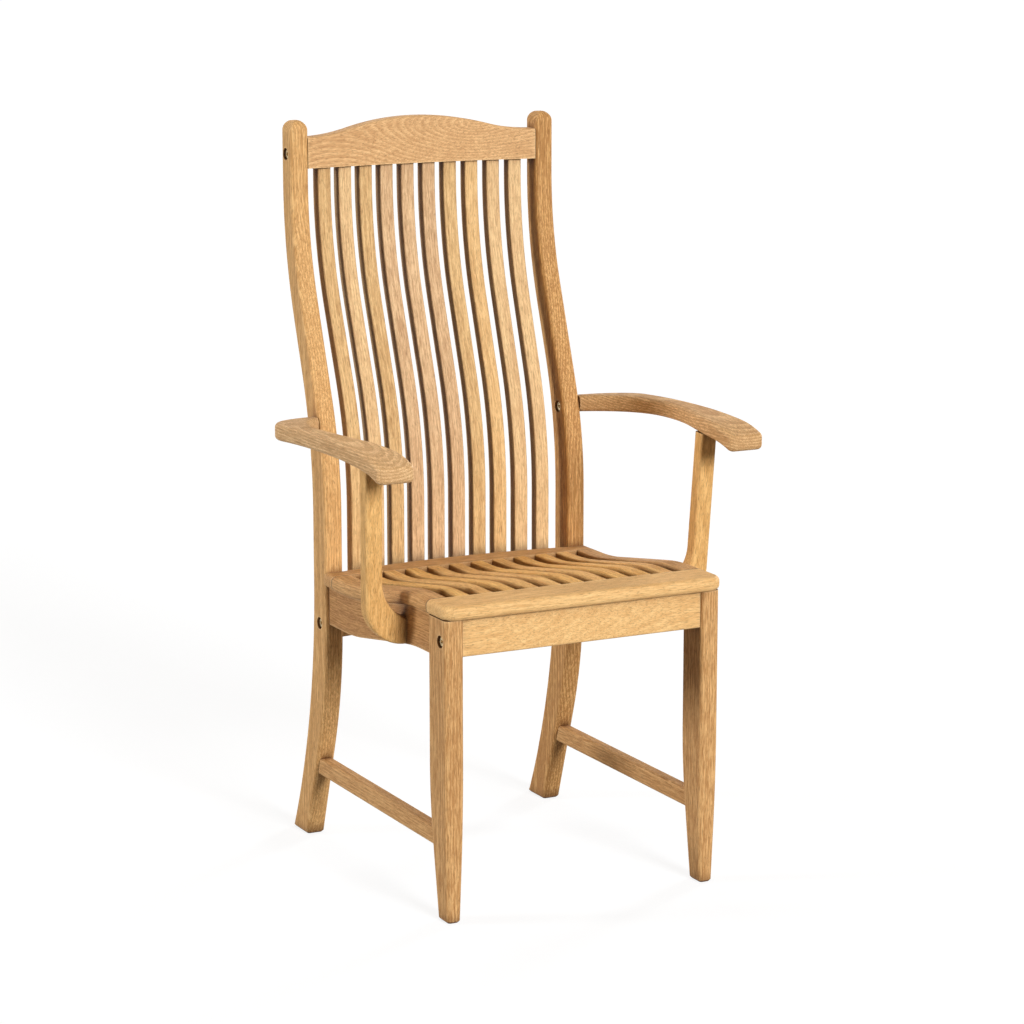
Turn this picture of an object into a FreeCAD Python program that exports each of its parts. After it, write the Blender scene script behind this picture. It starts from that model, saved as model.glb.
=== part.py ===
"""Slatted hardwood garden armchair, modelled piece by piece in millimetres.

The chair stands on z = 0 and faces -y, with the origin under the middle of its box. Left and right are
those of someone who looks at the chair from the front, so left is -x. Each left piece is modelled once
and its right twin is the mirror image.
"""
import FreeCAD, Part
import Sketcher
import math
import os
from types import SimpleNamespace

# Driving sizes: name, value in mm (or degrees, or a share) and what it measures.
SIZES = (
    ("front_width", 436, "outer face to outer face of the legs"),
    ("nose_set", 282.5, "nose of the seat ahead of the middle of the chair's depth"),
    ("leg_thick", 29, "thickness of all four legs, side to side"),
    ("leg_round", 6.5, "rounding of the long edges of the legs"),
    ("foot_chamfer", 3, "chamfer around the feet"),
    ("nose_overhang", 8, "seat nose ahead of the front legs"),
    ("seat_depth", 411, "seat nose to the face of the back legs"),
    ("seat_front_height", 456, "top of the seat at the nose"),
    ("seat_drop", 32, "fall of the seat from the nose to the back"),
    ("seat_thick", 21, "thickness of the seat frame and slats"),
    ("back_leg_height", 1081, "top of the back legs"),
    ("post_depth", 48, "front to back of a back leg at the seat"),
    ("post_top_depth", 36, "front to back of a back leg at its top"),
    ("lean_rise", 87, "top of the seat at its back to where the back starts to lean"),
    ("top_upright", 90, "upright stretch at the top of a back leg"),
    ("recline_angle", 12.68, "mean lean of the back"),
    ("lean_bend_share", 0.522, "how much steeper than the mean the back leans half-way up"),
    ("foot_kick", 80.5, "how far the back foot kicks out behind the seat line"),
    ("kick_drop", 60, "underside of the seat at its back to where the leg's face starts to kick"),
    ("kick_bend_share", 0.371, "how much steeper than the mean the foot kicks out"),
    ("back_foot_depth", 56, "front to back of the back foot"),
    ("post_top_round", 14, "rounding of the top of a back leg, seen from the side"),
    ("post_top_cheek", 10, "width of the rounding of the top of a back leg, seen from the front"),
    ("cheek_drop_share", 1.8, "height of that rounding for its width"),
    ("cheek_bow_share", 2.6, "radius of that rounding for its width"),
    ("front_leg_depth", 56, "front to back of a front leg at its top"),
    ("front_foot_depth", 33, "front to back of the front foot"),
    ("foot_taper", 4, "taper of the front and of each side of the front foot"),
    ("taper_start", 228, "height where the front leg starts to taper"),
    ("taper_bend_share", 0.285, "how much steeper than the mean the rear of the foot tapers"),
    ("side_bend_share", 0.5, "how much steeper than the mean the other sides taper"),
    ("back_hollow", 15, "hollow of the back in plan"),
    ("crest_drop", 71, "top of a back leg to the crest rail's underside"),
    ("crest_end_height", 46, "height of the crest rail at its ends"),
    ("crest_bell", 24.5, "rise of the bell-shaped top of the crest rail"),
    ("bell_share", 0.6, "share of the bell that is its round middle"),
    ("crest_thick", 28, "thickness of the crest rail"),
    ("crest_recess", 3, "crest rail behind the face of the back legs"),
    ("crest_round", 4, "rounding of the crest rail's top edges"),
    ("lower_rail_drop", 36, "underside of the seat to the top of the lower back rail"),
    ("lower_rail_height", 46, "height of the lower back rail"),
    ("lower_rail_thick", 28, "thickness of the lower back rail"),
    ("back_slat_width", 21.5, "width of a back slat"),
    ("back_slat_thick", 19, "thickness of a back slat"),
    ("slat_field_share", 0.91, "share of the room between the back legs that the slats fill"),
    ("slat_recess", 15, "back slats behind the face of the back legs"),
    ("slat_lean_less", 7, "how much less than the legs the back slats lean back"),
    ("slat_turn_share", 0.3, "share of the hollow's angle that the slats turn by"),
    ("slat_round", 2.5, "rounding of the slats' long edges"),
    ("front_rail_depth", 61, "front to back of the seat's front rail"),
    ("rear_rail_depth", 27, "front to back of the seat's rear rail at its ends"),
    ("seat_overhang", 3, "sides of the seat beyond the outer faces of the legs"),
    ("seat_corner_round", 20, "front corners of the seat in plan"),
    ("seat_nose_round", 8, "rounding of the seat's nose and sides"),
    ("seat_bow", 17, "bow of the seat's rear edge between the back legs"),
    ("seat_flat_share", 0.1, "share of a seat slat that lies level at the back"),
    ("seat_curve_share", 0.8, "share of a seat slat that rises"),
    ("seat_bend_share", 0.286, "how much steeper than the mean the seat rises half-way"),
    ("seat_slat_width", 20.2, "width of a seat slat"),
    ("apron_recess", 5, "aprons behind the outer faces of the legs"),
    ("apron_round", 3, "rounding of the aprons' lower edges"),
    ("front_apron_thick", 24, "thickness of the front apron"),
    ("front_apron_height", 54, "height of the front apron"),
    ("side_apron_thick", 22, "thickness of a side apron"),
    ("side_apron_height", 57, "height of a side apron"),
    ("stretcher_underside", 103, "height of a side stretcher's underside"),
    ("stretcher_height", 27, "height of a side stretcher"),
    ("stretcher_thick", 20, "thickness of a side stretcher"),
    ("stretcher_round", 5, "rounding of a stretcher's long edges"),
    ("arm_rise", 210, "nose of the seat to the highest point of an arm"),
    ("arm_thick", 25, "thickness of an arm"),
    ("arm_reach", 87, "outer edge of an arm beyond the leg"),
    ("arm_waist_reach", 57, "inner edge of an arm's waist beyond the leg"),
    ("arm_nose_width", 57, "width of an arm at its nose"),
    ("arm_nose_set", 34, "arm nose behind the seat nose"),
    ("arm_root_set", 18, "front of the arm's root behind the face of the back legs"),
    ("arm_root_depth", 28, "front to back of the arm's root"),
    ("arm_sickle_share", 0.366, "share of the inner edge from the root to the waist"),
    ("arm_flare_share", 0.6, "share of the inner edge from the waist to the nose"),
    ("flare_bend_share", 0.5, "share of that flare that bends in before it bends out again"),
    ("arm_elbow_share", 0.985, "share of the arm's reach that rounds its elbow"),
    ("arm_nose_corner", 10, "corners of the arm's nose in plan"),
    ("arm_peak_set", 154, "arm nose to its highest point"),
    ("arm_root_drop", 14.5, "fall of the arm from its highest point to its root"),
    ("arm_front_run", 95, "highest point to where the nose starts to droop"),
    ("arm_front_drop", 3.4, "fall over that run"),
    ("arm_nose_drop", 17, "fall of the arm from its highest point to its nose"),
    ("arm_round", 6.5, "rounding of the arm's edges"),
    ("support_deep", 22, "front to back of an arm support"),
    ("support_foot_drop", 60.5, "underside of the seat's nose to the arm support's lowest point"),
    ("support_set", 155, "middle of the arm support's foot behind the seat nose"),
    ("support_lean_angle", 4, "forward lean of the arm support"),
    ("support_splay_angle", 1.5, "outward splay of the arm support"),
    ("support_bend", 63, "outer bend at the support's foot"),
    ("support_inner_bend", 60, "inner bend at the support's foot"),
    ("support_inner_reach", 38, "inner edge of the support beyond the apron, above the bend"),
    ("support_inner_rise", 93, "height of the inner bend above the support's lowest point"),
    ("support_round", 4, "rounding of the arm support's edges"),
    ("tenon_thick", 9, "thickness of a tenon"),
    ("tenon_length", 15, "length of a slat or stretcher tenon"),
    ("apron_tenon_length", 18, "length of a side apron's tenon"),
    ("tenon_shoulder", 5, "shoulder above, below or beside a tenon"),
    ("joint_clear", 0.2, "room around tenons, dowels and fasteners"),
    ("bed_clear", 0.4, "room between curved faces that lie on each other"),
    ("overrun", 5, "how far a cutting shape runs past the wood"),
    ("bolt_radius", 3, "shank of a bolt"),
    ("bolt_head_radius", 6.5, "head of a bolt"),
    ("bolt_head_length", 6, "length of a bolt head"),
    ("bolt_socket_radius", 3, "hexagon socket of a bolt head, corner to middle"),
    ("bolt_socket_depth", 3.5, "depth of the hexagon socket"),
    ("counterbore_radius", 9, "counterbore for a bolt head"),
    ("counterbore_depth", 9, "depth of the counterbore"),
    ("nut_radius", 5, "barrel nut"),
    ("nut_length", 13, "length of a barrel nut"),
    ("nut_reach", 11, "rail end to the middle of its barrel nut"),
    ("nut_past", 6, "how far a bolt runs past the middle of its nut"),
    ("insert_radius", 5, "threaded insert in the arm"),
    ("insert_length", 18, "length of the threaded insert"),
    ("dowel_radius", 4, "wooden dowel"),
    ("dowel_length", 28, "length of a dowel"),
    ("dowel_offset", 15, "dowel above the bolt of the same joint"),
    ("crest_bolt_rise", 21.5, "crest bolt above the rail's underside"),
    ("crest_bolt_inset", 17, "crest bolt behind the rail's face"),
    ("lower_bolt_rise", 22, "lower rail bolt above the rail's underside"),
    ("apron_bolt_rise", 22.5, "front apron bolt above the apron's underside"),
    ("arm_bolt_drop", 29, "highest point of an arm to its bolt"),
    ("arm_bolt_set", 37, "arm bolt behind the face of the back legs"),
    ("screw_radius", 2.2, "shank of a wood screw"),
    ("screw_head_radius", 4.5, "head of a wood screw"),
    ("screw_head_length", 3, "length of a wood screw's head"),
    ("support_screw_length", 40, "length of the arm support's screws"),
    ("support_screw_rise", 11, "lower screw above the support's lowest point"),
    ("support_screw_gap", 16, "lower to upper screw of a support"),
    ("seat_screw_length", 35, "length of the seat's screws"),
    ("seat_screw_hold", 15, "how far a seat screw goes into the seat"),
    ("seat_screw_spread", 110, "front seat screw from the middle of the chair"),
    ("seat_screw_set", 45, "rear seat screw ahead of the face of the back legs"),
)
BACK_SLATS = 10
SEAT_SLATS = 10
SUPPORT_SCREWS = 2


class Size:
    """A length, angle or share, with the formula that ties it to the sheet."""

    def __init__(self, value, text):
        self.value = value
        self.text = text

    def __add__(self, other):
        other = sized(other)
        return Size(self.value + other.value, f"({self.text} + {other.text})")

    def __sub__(self, other):
        other = sized(other)
        return Size(self.value - other.value, f"({self.text} - {other.text})")

    def __mul__(self, other):
        other = sized(other)
        return Size(self.value * other.value, f"({self.text} * {other.text})")

    def __truediv__(self, other):
        other = sized(other)
        return Size(self.value / other.value, f"({self.text} / {other.text})")

    def __rsub__(self, other):
        return sized(other) - self

    def __neg__(self):
        return Size(-self.value, f"(-{self.text})")

    __radd__ = __add__
    __rmul__ = __mul__


def sized(thing):
    """Give a plain number the form of a size."""
    if isinstance(thing, Size):
        return thing
    return Size(float(thing), repr(thing))


def sine(angle):
    return Size(math.sin(math.radians(angle.value)), f"sin({angle.text})")


def cosine(angle):
    return Size(math.cos(math.radians(angle.value)), f"cos({angle.text})")


def tangent(angle):
    return Size(math.tan(math.radians(angle.value)), f"tan({angle.text})")


def arc_sine(ratio):
    return Size(math.degrees(math.asin(ratio.value)), f"(asin({ratio.text}) / 1 deg)")


def arc_tangent(ratio):
    return Size(math.degrees(math.atan(ratio.value)), f"(atan({ratio.text}) / 1 deg)")


def root(number):
    return Size(math.sqrt(number.value), f"sqrt({number.text})")


def half(size):
    return size / 2


NIL = Size(0.0, "0")
SQUARE = sized(90)


def sheet_of_sizes(document):
    """Write the driving sizes into the sheet and give each one by name."""
    sheet = document.addObject("Spreadsheet::Sheet", "Sizes")
    named = SimpleNamespace()
    for row, (name, value, meaning) in enumerate(SIZES, start=1):
        sheet.set(f"A{row}", name)
        sheet.set(f"B{row}", str(value))
        sheet.set(f"C{row}", meaning)
        sheet.setAlias(f"B{row}", name)
        setattr(named, name, Size(float(value), f"Sizes.{name}"))
    document.recompute()
    return named


doc = FreeCAD.newDocument("garden_armchair")
s = sheet_of_sizes(doc)

# Heights that several pieces share, worked out from the driving sizes.
seat_front_under = s.seat_front_height - s.seat_thick
seat_rear_under = seat_front_under - s.seat_drop
lean_start = seat_rear_under + s.seat_thick + s.lean_rise
lean_end = s.back_leg_height - s.top_upright
kick_start = seat_rear_under - s.kick_drop
crest_underside = s.back_leg_height - s.crest_drop
lower_rail_top = seat_rear_under - s.lower_rail_drop
lower_rail_underside = lower_rail_top - s.lower_rail_height
front_apron_under = seat_front_under - s.front_apron_height
stretcher_top = s.stretcher_underside + s.stretcher_height
stretcher_middle = s.stretcher_underside + half(s.stretcher_height)
arm_top = s.seat_front_height + s.arm_rise
arm_bolt_height = arm_top - s.arm_bolt_drop
support_foot_height = seat_front_under - s.support_foot_drop

# Places from side to side.
side_face = half(s.front_width)
inner_face = side_face - s.leg_thick
leg_middle = side_face - half(s.leg_thick)
seat_side = side_face + s.seat_overhang
side_rail_width = seat_side - inner_face
side_rail_middle = seat_side - half(side_rail_width)
side_apron_outer = side_face - s.apron_recess
side_apron_middle = side_apron_outer - half(s.side_apron_thick)
back_slat_pitch = inner_face * 2 * s.slat_field_share / BACK_SLATS
hollow_radius = (inner_face * inner_face + s.back_hollow * s.back_hollow) / (s.back_hollow * 2)

# Places from front to back.
nose = -s.nose_set
lean_run = lean_end - lean_start
back_lean = lean_run * tangent(s.recline_angle)
lean_angle = s.recline_angle * (s.lean_bend_share + 1)
slat_lean = back_lean - s.slat_lean_less
leg_front = nose + s.nose_overhang
leg_rear = leg_front + s.front_leg_depth
front_foot_front = leg_front + s.foot_taper
front_foot_rear = front_foot_front + s.front_foot_depth
post_front = nose + s.seat_depth
post_rear = post_front + s.post_depth
foot_front = post_front + s.foot_kick
foot_rear = foot_front + s.back_foot_depth
top_front = post_front + back_lean
top_rear = top_front + s.post_top_depth
front_rail_rear = nose + s.front_rail_depth
rear_rail_front = post_front - s.rear_rail_depth
seat_slat_run = rear_rail_front - front_rail_rear
seat_curve_rear = rear_rail_front - seat_slat_run * s.seat_flat_share
seat_curve_run = seat_slat_run * s.seat_curve_share
slat_face = post_front + s.slat_recess
crest_front = top_front + s.crest_recess
lower_rail_front = slat_face - half(s.lower_rail_thick - s.back_slat_thick)
front_apron_front = leg_front + s.apron_recess
seat_screw_rear = post_front - s.seat_screw_set
arm_nose = nose + s.arm_nose_set
arm_peak = arm_nose + s.arm_peak_set
arm_root_front = post_front + s.arm_root_set
arm_root_rear = arm_root_front + s.arm_root_depth
arm_inner_run = arm_root_front - arm_nose - s.arm_nose_corner
arm_sickle_run = arm_inner_run * s.arm_sickle_share
arm_flare_run = arm_inner_run * s.arm_flare_share
arm_elbow = s.arm_reach * s.arm_elbow_share
support_middle = nose + s.support_set


def steepest(run, shift, bend_share):
    """Steepest angle of a bend that shifts by so much over a run, in degrees."""
    return arc_tangent(shift / run) * (bend_share + 1)


kick_angle = steepest(kick_start, s.foot_kick, s.kick_bend_share)
taper_angle = steepest(s.taper_start, leg_rear - front_foot_rear, s.taper_bend_share)
side_taper_angle = steepest(s.taper_start, s.foot_taper, s.side_bend_share)
seat_curve_angle = steepest(seat_curve_run, s.seat_drop, s.seat_bend_share)


def run_radius(run, rise):
    """Radius of an arc that starts along its run and rises by rise at the end of it."""
    return (run * run + rise * rise) / (rise * 2)


def moved(start, main, side, along, across):
    """The point that lies along the main direction and across to one side of a start."""
    x = start[0] + along * main[0] + across * side[0]
    y = start[1] + along * main[1] + across * side[1]
    return x, y


def left_or_right(main, side):
    """1 where the side lies to the left of the main direction, -1 to the right."""
    return main[0] * side[1] - main[1] * side[0]


def ogee(start, main, side, run, shift, angle):
    """Steps of an S: an arc, a straight stretch and a like arc back to the first direction."""
    radius = (run * sine(angle) - shift * cosine(angle)) / ((1 - cosine(angle)) * 2)
    along = radius * sine(angle)
    across = radius * (1 - cosine(angle))
    turn = left_or_right(main, side)
    first = moved(start, main, side, along, across)
    second = moved(start, main, side, run - along, shift - across)
    last = moved(start, main, side, run, shift)
    return [(*first, radius, turn), second, (*last, radius, -turn)]


def swan(start, main, side, run, shift, first_share):
    """Steps of an S of two arcs, the first of which takes a share of the run."""
    angle = arc_tangent(shift / run) * 2
    radius = run / sine(angle)
    turn = left_or_right(main, side)
    join = moved(start, main, side, run * first_share, shift * first_share)
    last = moved(start, main, side, run, shift)
    return [(*join, radius * first_share, turn), (*last, radius * (1 - first_share), -turn)]


def kick(start, main, side, run, shift, angle):
    """Steps of a leg that bends out by an arc and goes on straight."""
    bend = sine(angle) * tangent(angle) - (1 - cosine(angle))
    radius = (run * tangent(angle) - shift) / bend
    turn = left_or_right(main, side)
    join = moved(start, main, side, radius * sine(angle), radius * (1 - cosine(angle)))
    last = moved(start, main, side, run, shift)
    return [(*join, radius, turn), last]


def kick_back(start, main, side, run, shift, angle):
    """Steps of the same bend, from its straight end back to its start."""
    x, y, radius, turn = kick(start, main, side, run, shift, angle)[0]
    return [(x, y), (*start, radius, -turn)]


def rectangle(left, low, right, high):
    """A closed outline with four corners."""
    return [(left, low), (right, low), (right, high), (left, high)]


def arc_between(start, end, radius, turn):
    """The arc of up to half a turn between two points, bending left for 1 and right for -1."""
    middle = (start + end) * 0.5
    chord = end - start
    height = math.sqrt(radius * radius - chord.Length ** 2 / 4)
    to_left = FreeCAD.Vector(-chord.y, chord.x, 0).normalize()
    centre = middle + to_left * (height * turn)
    first, last = (start, end) if turn > 0 else (end, start)
    first_angle = math.atan2(first.y - centre.y, first.x - centre.x)
    last_angle = math.atan2(last.y - centre.y, last.x - centre.x)
    circle = Part.Circle(centre, FreeCAD.Vector(0, 0, 1), radius)
    return Part.ArcOfCircle(circle, first_angle, last_angle)


def pin_point(sketch, edge, end, point):
    """Tie the end of a sketch edge to its place, measured from the sketch's origin."""
    for kind, axis, size in (("DistanceX", -2, point[0]), ("DistanceY", -1, point[1])):
        if size.value == 0:
            sketch.addConstraint(Sketcher.Constraint("PointOnObject", edge, end, axis))
            continue
        index = sketch.addConstraint(Sketcher.Constraint(kind, -1, 1, edge, end, size.value))
        sketch.setExpression(f"Constraints[{index}]", size.text)


def add_loop(sketch, steps):
    """Draw a closed outline: each step is a corner, or a corner that an arc leads to."""
    count = len(steps)
    first_edge = sketch.GeometryCount
    ends = []
    for number in range(count):
        start = FreeCAD.Vector(steps[number][0].value, steps[number][1].value, 0)
        step = steps[(number + 1) % count]
        end = FreeCAD.Vector(step[0].value, step[1].value, 0)
        if len(step) == 2:
            sketch.addGeometry(Part.LineSegment(start, end), False)
            ends.append((1, 2))
            continue
        edge = sketch.addGeometry(arc_between(start, end, step[2].value, step[3]), False)
        index = sketch.addConstraint(Sketcher.Constraint("Radius", edge, step[2].value))
        sketch.setExpression(f"Constraints[{index}]", step[2].text)
        ends.append((1, 2) if step[3] > 0 else (2, 1))
    for number in range(count):
        after = (number + 1) % count
        joint = (first_edge + number, ends[number][1], first_edge + after, ends[after][0])
        sketch.addConstraint(Sketcher.Constraint("Coincident", *joint))
    for number in range(count):
        pin_point(sketch, first_edge + number, ends[number][0], steps[number])


def drawn(body, plane_role, loops):
    """A sketch with closed outlines on one of the body's own planes."""
    sketch = body.newObject("Sketcher::SketchObject", f"{body.Name}_outline")
    plane = next(item for item in body.Origin.OriginFeatures if item.Role == plane_role)
    sketch.AttachmentSupport = [(plane, "")]
    sketch.MapMode = "FlatFace"
    for loop in loops:
        add_loop(sketch, loop)
    return sketch


def new_body(name):
    return doc.addObject("PartDesign::Body", name)


def pad(body, plane_role, loops, length, side_type="Symmetric"):
    """Grow outlines into wood, to both sides of their plane unless told otherwise."""
    feature = body.newObject("PartDesign::Pad", f"{body.Name}_pad")
    feature.Profile = drawn(body, plane_role, loops)
    feature.SideType = side_type
    feature.setExpression("Length", length.text)
    doc.recompute()
    return feature


def pocket(body, plane_role, loops, length):
    """Cut outlines away, to both sides of their plane, and make sure that wood went."""
    before = body.Shape.Volume
    feature = body.newObject("PartDesign::Pocket", f"{body.Name}_pocket")
    feature.Profile = drawn(body, plane_role, loops)
    feature.SideType = "Symmetric"
    feature.setExpression("Length", length.text)
    doc.recompute()
    if body.Shape.Volume >= before:
        raise RuntimeError(f"{feature.Name} cut nothing")
    return feature


def dress(body, kind, size_name, size, wanted):
    """Round or chamfer the edges of a body that pass a test."""
    base = body.Tip
    edges = [f"Edge{number}" for number, edge in enumerate(base.Shape.Edges, start=1) if wanted(edge)]
    feature = body.newObject(f"PartDesign::{kind}", f"{body.Name}_{kind.lower()}")
    feature.Base = (base, edges)
    feature.setExpression(size_name, size.text)
    doc.recompute()
    return feature


def soften(body, radius, wanted):
    return dress(body, "Fillet", "Radius", radius, wanted)


def bevel(body, size, wanted):
    return dress(body, "Chamfer", "Size", size, wanted)


def place(thing, x, y, z, axis=(0, 0, 1), angle=NIL):
    """Bind a placement to its sizes."""
    spot = f"vector({x.text}; {y.text}; {z.text})"
    turn = f"rotation(vector({axis[0]}; {axis[1]}; {axis[2]}); {angle.text})"
    thing.setExpression("Placement", f"placement({spot}; {turn})")


def box(name, x, y, z, length, width, height, angle=NIL):
    """A block with its near left lower corner at x, y, z, turned about the upright through it."""
    block = doc.addObject("Part::Box", name)
    block.setExpression("Length", length.text)
    block.setExpression("Width", width.text)
    block.setExpression("Height", height.text)
    place(block, x, y, z, (0, 0, 1), angle)
    return block


def rod(name, x, y, z, radius, length, axis=(0, 0, 1), angle=NIL):
    """A round bar that starts at x, y, z and runs up, or along z turned about an axis."""
    bar = doc.addObject("Part::Cylinder", name)
    bar.setExpression("Radius", radius.text)
    bar.setExpression("Height", length.text)
    place(bar, x, y, z, axis, angle)
    return bar


def cross_rod(name, x, y, z, radius, length, heading=1):
    """A round bar along x, towards +x for a heading of 1 and towards -x for -1."""
    return rod(name, x, y, z, radius, length, (0, 1, 0), SQUARE * heading)


def joined(name, members):
    """Fuse shapes into one."""
    fused = doc.addObject("Part::MultiFuse", name)
    fused.Shapes = members
    return fused


def cut(label, blank, tools):
    """Take joints and holes out of a blank, and make sure that each one cut."""
    piece = doc.addObject("Part::Cut", label)
    piece.Base = blank
    piece.Tool = joined(f"{label}_joints", tools) if len(tools) > 1 else tools[0]
    piece.Label = label
    doc.recompute()
    for tool in tools:
        if blank.Shape.common(tool.Shape).Volume <= 0:
            raise RuntimeError(f"{tool.Name} misses {label}")
    return piece


def mirrored(label, source):
    """The twin of a piece on the other side of the chair."""
    twin = doc.addObject("Part::Mirroring", label)
    twin.Source = source
    twin.Normal = (1, 0, 0)
    twin.Label = label
    return twin


def group(label, members):
    """Like fasteners as one group of separate solids."""
    bundle = doc.addObject("Part::Compound", label)
    bundle.Links = members
    bundle.Label = label
    return bundle


def both_sides(label, members):
    """A group of fasteners on the left and their twins on the right."""
    twins = [mirrored(f"{member.Name}_twin", member) for member in members]
    return group(label, members + twins)


def slight(length):
    """True for a length that is less than the room in a joint."""
    return abs(length) < s.joint_clear.value


def flat_across(edge):
    """True for an edge that lies in a plane square to x."""
    return slight(edge.BoundBox.XLength)


def level(edge):
    """True for an edge that lies in a level plane."""
    return slight(edge.BoundBox.ZLength)


def on_floor(edge):
    return level(edge) and slight(edge.BoundBox.ZMax)


# Bolted joints: where each left bolt goes, so that wood and metal are worked out from the same places.
crest_bolt_y = crest_front + s.crest_bolt_inset
crest_bolt_z = crest_underside + s.crest_bolt_rise
lower_bolt_y = lower_rail_front + half(s.lower_rail_thick)
lower_bolt_z = lower_rail_underside + s.lower_bolt_rise
apron_bolt_y = front_apron_front + half(s.front_apron_thick)
apron_bolt_z = front_apron_under + s.apron_bolt_rise
arm_bolt_y = post_front + s.arm_bolt_set
rail_joints = (
    ("crest", crest_bolt_y, crest_bolt_z),
    ("lower_rail", lower_bolt_y, lower_bolt_z),
    ("front_apron", apron_bolt_y, apron_bolt_z),
)
bolt_seat = s.counterbore_depth - s.bolt_head_length
nut_x = s.nut_reach - inner_face
rail_bolt_length = s.leg_thick - s.counterbore_depth + s.nut_reach + s.nut_past
arm_bolt_length = s.leg_thick - s.counterbore_depth + s.insert_length - s.joint_clear * 2


def bolt_hole(name, face_x, y, z, heading):
    """Counterbore and clearance hole through a leg, from one of its faces."""
    wide_start = face_x - s.overrun * heading
    wide = cross_rod(f"{name}_bore", wide_start, y, z, s.counterbore_radius,
                     s.counterbore_depth + s.overrun, heading)
    narrow = cross_rod(f"{name}_hole", face_x, y, z, s.bolt_radius + s.joint_clear,
                       s.leg_thick + s.overrun, heading)
    return [wide, narrow]


def dowel_hole(name, y, z):
    """Hole for a dowel that lies half in the left leg and half in the rail beside it."""
    reach = half(s.dowel_length) + s.joint_clear
    return cross_rod(name, -inner_face - reach, y, z, s.dowel_radius + s.joint_clear, reach * 2)


def tenon_hole(name, x, y, z, length, width, height):
    """Mortise for a tenon, with room on every side; x, y, z is the tenon's near left lower corner."""
    room = s.joint_clear
    return box(name, x - room, y - room, z - room, length + room * 2, width + room * 2, height + room * 2)


def top_corner_waste(heading):
    """What comes off the top of a back leg at one side, towards +x for a heading of 1."""
    face = half(s.leg_thick) * heading
    outside = face + s.overrun * heading
    low = s.back_leg_height - s.post_top_cheek * s.cheek_drop_share
    above = s.back_leg_height + s.overrun
    inside = face - s.post_top_cheek * heading
    return [(face, low, s.post_top_cheek * s.cheek_bow_share, -heading), (outside, low), (outside, above),
            (inside, above), (inside, s.back_leg_height)]


def make_back_leg():
    """The S-shaped back leg, one length of wood from the foot to the top of the back."""
    rear_lean = top_rear - post_rear
    shoulder = s.back_leg_height - s.post_top_round
    start = (post_front, kick_start)
    outline = [start]
    outline += kick(start, (0, -1), (1, 0), kick_start, s.foot_kick, kick_angle)
    outline.append((foot_rear, NIL))
    outline.append((post_rear, seat_rear_under, run_radius(seat_rear_under, foot_rear - post_rear), -1))
    outline.append((post_rear, lean_start))
    outline += ogee((post_rear, lean_start), (0, 1), (1, 0), lean_run, rear_lean, lean_angle)
    outline.append((top_rear, shoulder))
    outline.append((top_rear - s.post_top_round, s.back_leg_height, s.post_top_round, 1))
    outline.append((top_front + s.post_top_round, s.back_leg_height))
    outline.append((top_front, shoulder, s.post_top_round, 1))
    outline.append((top_front, lean_end))
    outline += ogee((top_front, lean_end), (0, -1), (-1, 0), lean_run, back_lean, lean_angle)
    body = new_body("back_leg_blank")
    pad(body, "YZ_Plane", [outline], s.leg_thick)
    soften(body, s.leg_round, lambda edge: flat_across(edge) and not on_floor(edge))
    bevel(body, s.foot_chamfer, on_floor)
    pocket(body, "XZ_Plane", [top_corner_waste(-1), top_corner_waste(1)], (top_rear + s.overrun) * 2)
    place(body, -leg_middle, NIL, NIL)
    tools = [apron_tenon("back_leg", post_front, seat_rear_under), stretcher_hole("back_leg")]
    tools += bolt_hole("crest_bolt", -side_face, crest_bolt_y, crest_bolt_z, 1)
    tools += bolt_hole("lower_bolt", -side_face, lower_bolt_y, lower_bolt_z, 1)
    tools += bolt_hole("arm_bolt", -inner_face, arm_bolt_y, arm_bolt_height, -1)
    tools.append(dowel_hole("crest_dowel_hole", crest_bolt_y, crest_bolt_z + s.dowel_offset))
    tools.append(dowel_hole("lower_dowel_hole", lower_bolt_y, lower_bolt_z + s.dowel_offset))
    left = cut("back_leg_left", body, tools)
    return [left, mirrored("back_leg_right", left)]


def side_tenon_x():
    """Left cheek of the tenons of the side aprons and stretchers, in the middle of the left legs."""
    return -side_apron_middle - half(s.tenon_thick)


def apron_tenon(leg, face_y, top):
    """Mortise of a side apron's tenon behind or ahead of a leg's face."""
    low = top - s.side_apron_height + s.tenon_shoulder
    high = top - s.tenon_shoulder * 2
    return tenon_hole(f"{leg}_apron_mortise", side_tenon_x(), face_y, low, s.tenon_thick,
                      s.apron_tenon_length, high - low)


def stretcher_ends(height):
    """Where a stretcher's ends meet the tapered legs at a height: front, then rear."""
    front = front_foot_rear + height * tangent(taper_angle)
    rear = foot_front - height * tangent(kick_angle)
    return front, rear


stretcher_tenon_low = s.stretcher_underside + s.tenon_shoulder
stretcher_tenon_high = stretcher_top - s.tenon_shoulder


def stretcher_hole(leg):
    """Mortise of the side stretcher's tenon in a leg."""
    front, rear = stretcher_ends(stretcher_middle)
    start = front - s.tenon_length if leg == "front_leg" else rear - s.overrun
    return tenon_hole(f"{leg}_stretcher_mortise", half(s.tenon_thick) * -1 - leg_middle, start,
                      stretcher_tenon_low, s.tenon_thick, s.tenon_length + s.overrun,
                      stretcher_tenon_high - stretcher_tenon_low)


def leg_side_waste(heading):
    """What comes off one side of the front leg's blank, towards +x for a heading of 1."""
    face = half(s.leg_thick) * heading
    outside = face + s.overrun * 2 * heading
    high = seat_front_under + s.overrun
    start = (face, s.taper_start)
    outline = [(face, high), start]
    outline += kick(start, (0, -1), (-heading, 0), s.taper_start, s.foot_taper, side_taper_angle)
    outline += [(outside, NIL), (outside, high)]
    return outline


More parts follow.
